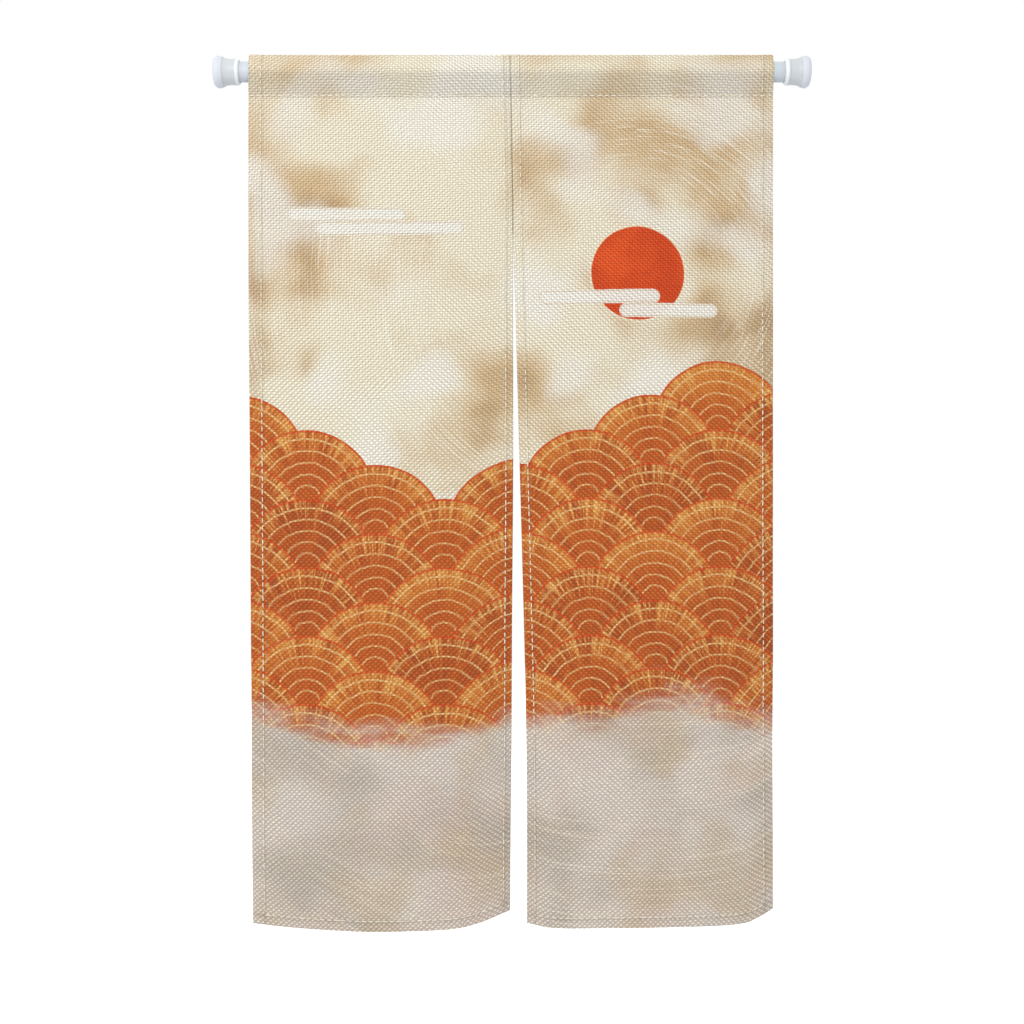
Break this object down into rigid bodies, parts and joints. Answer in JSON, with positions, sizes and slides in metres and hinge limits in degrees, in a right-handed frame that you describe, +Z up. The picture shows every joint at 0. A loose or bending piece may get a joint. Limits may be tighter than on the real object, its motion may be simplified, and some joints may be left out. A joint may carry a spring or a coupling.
{
  "type": "noren curtain on a tension rod",
  "caption": "Printed noren door curtain of coarse cloth, hemmed panels sewn together at the top and parted below, hung by its sewn pocket on a white spring tension rod with flared end caps.",
  "frame": {"origin": "centre of the left foot's flat face, on the rod's axis", "axes": "+X along the rod to the right foot as seen from the printed side, +Y away from the viewer of that side, +Z up"},
  "size_m": [0.976, 0.0667, 1.4338],
  "materials": {
    "tube_enamel": "smooth white enamel, half gloss",
    "cap_plastic": "moulded white plastic, half gloss",
    "foot_rubber": "soft white rubber, satin",
    "printed_cloth": "coarse plain weave, printed on its face, matt"
  },
  "bodies": {
    "root": {"rod_tube": "tube_enamel", "cap_left": "cap_plastic", "cap_right": "cap_plastic", "foot_left": "foot_rubber", "foot_right": "foot_rubber", "panel_left": "printed_cloth", "panel_right": "printed_cloth"}
  },
  "joints": []
}
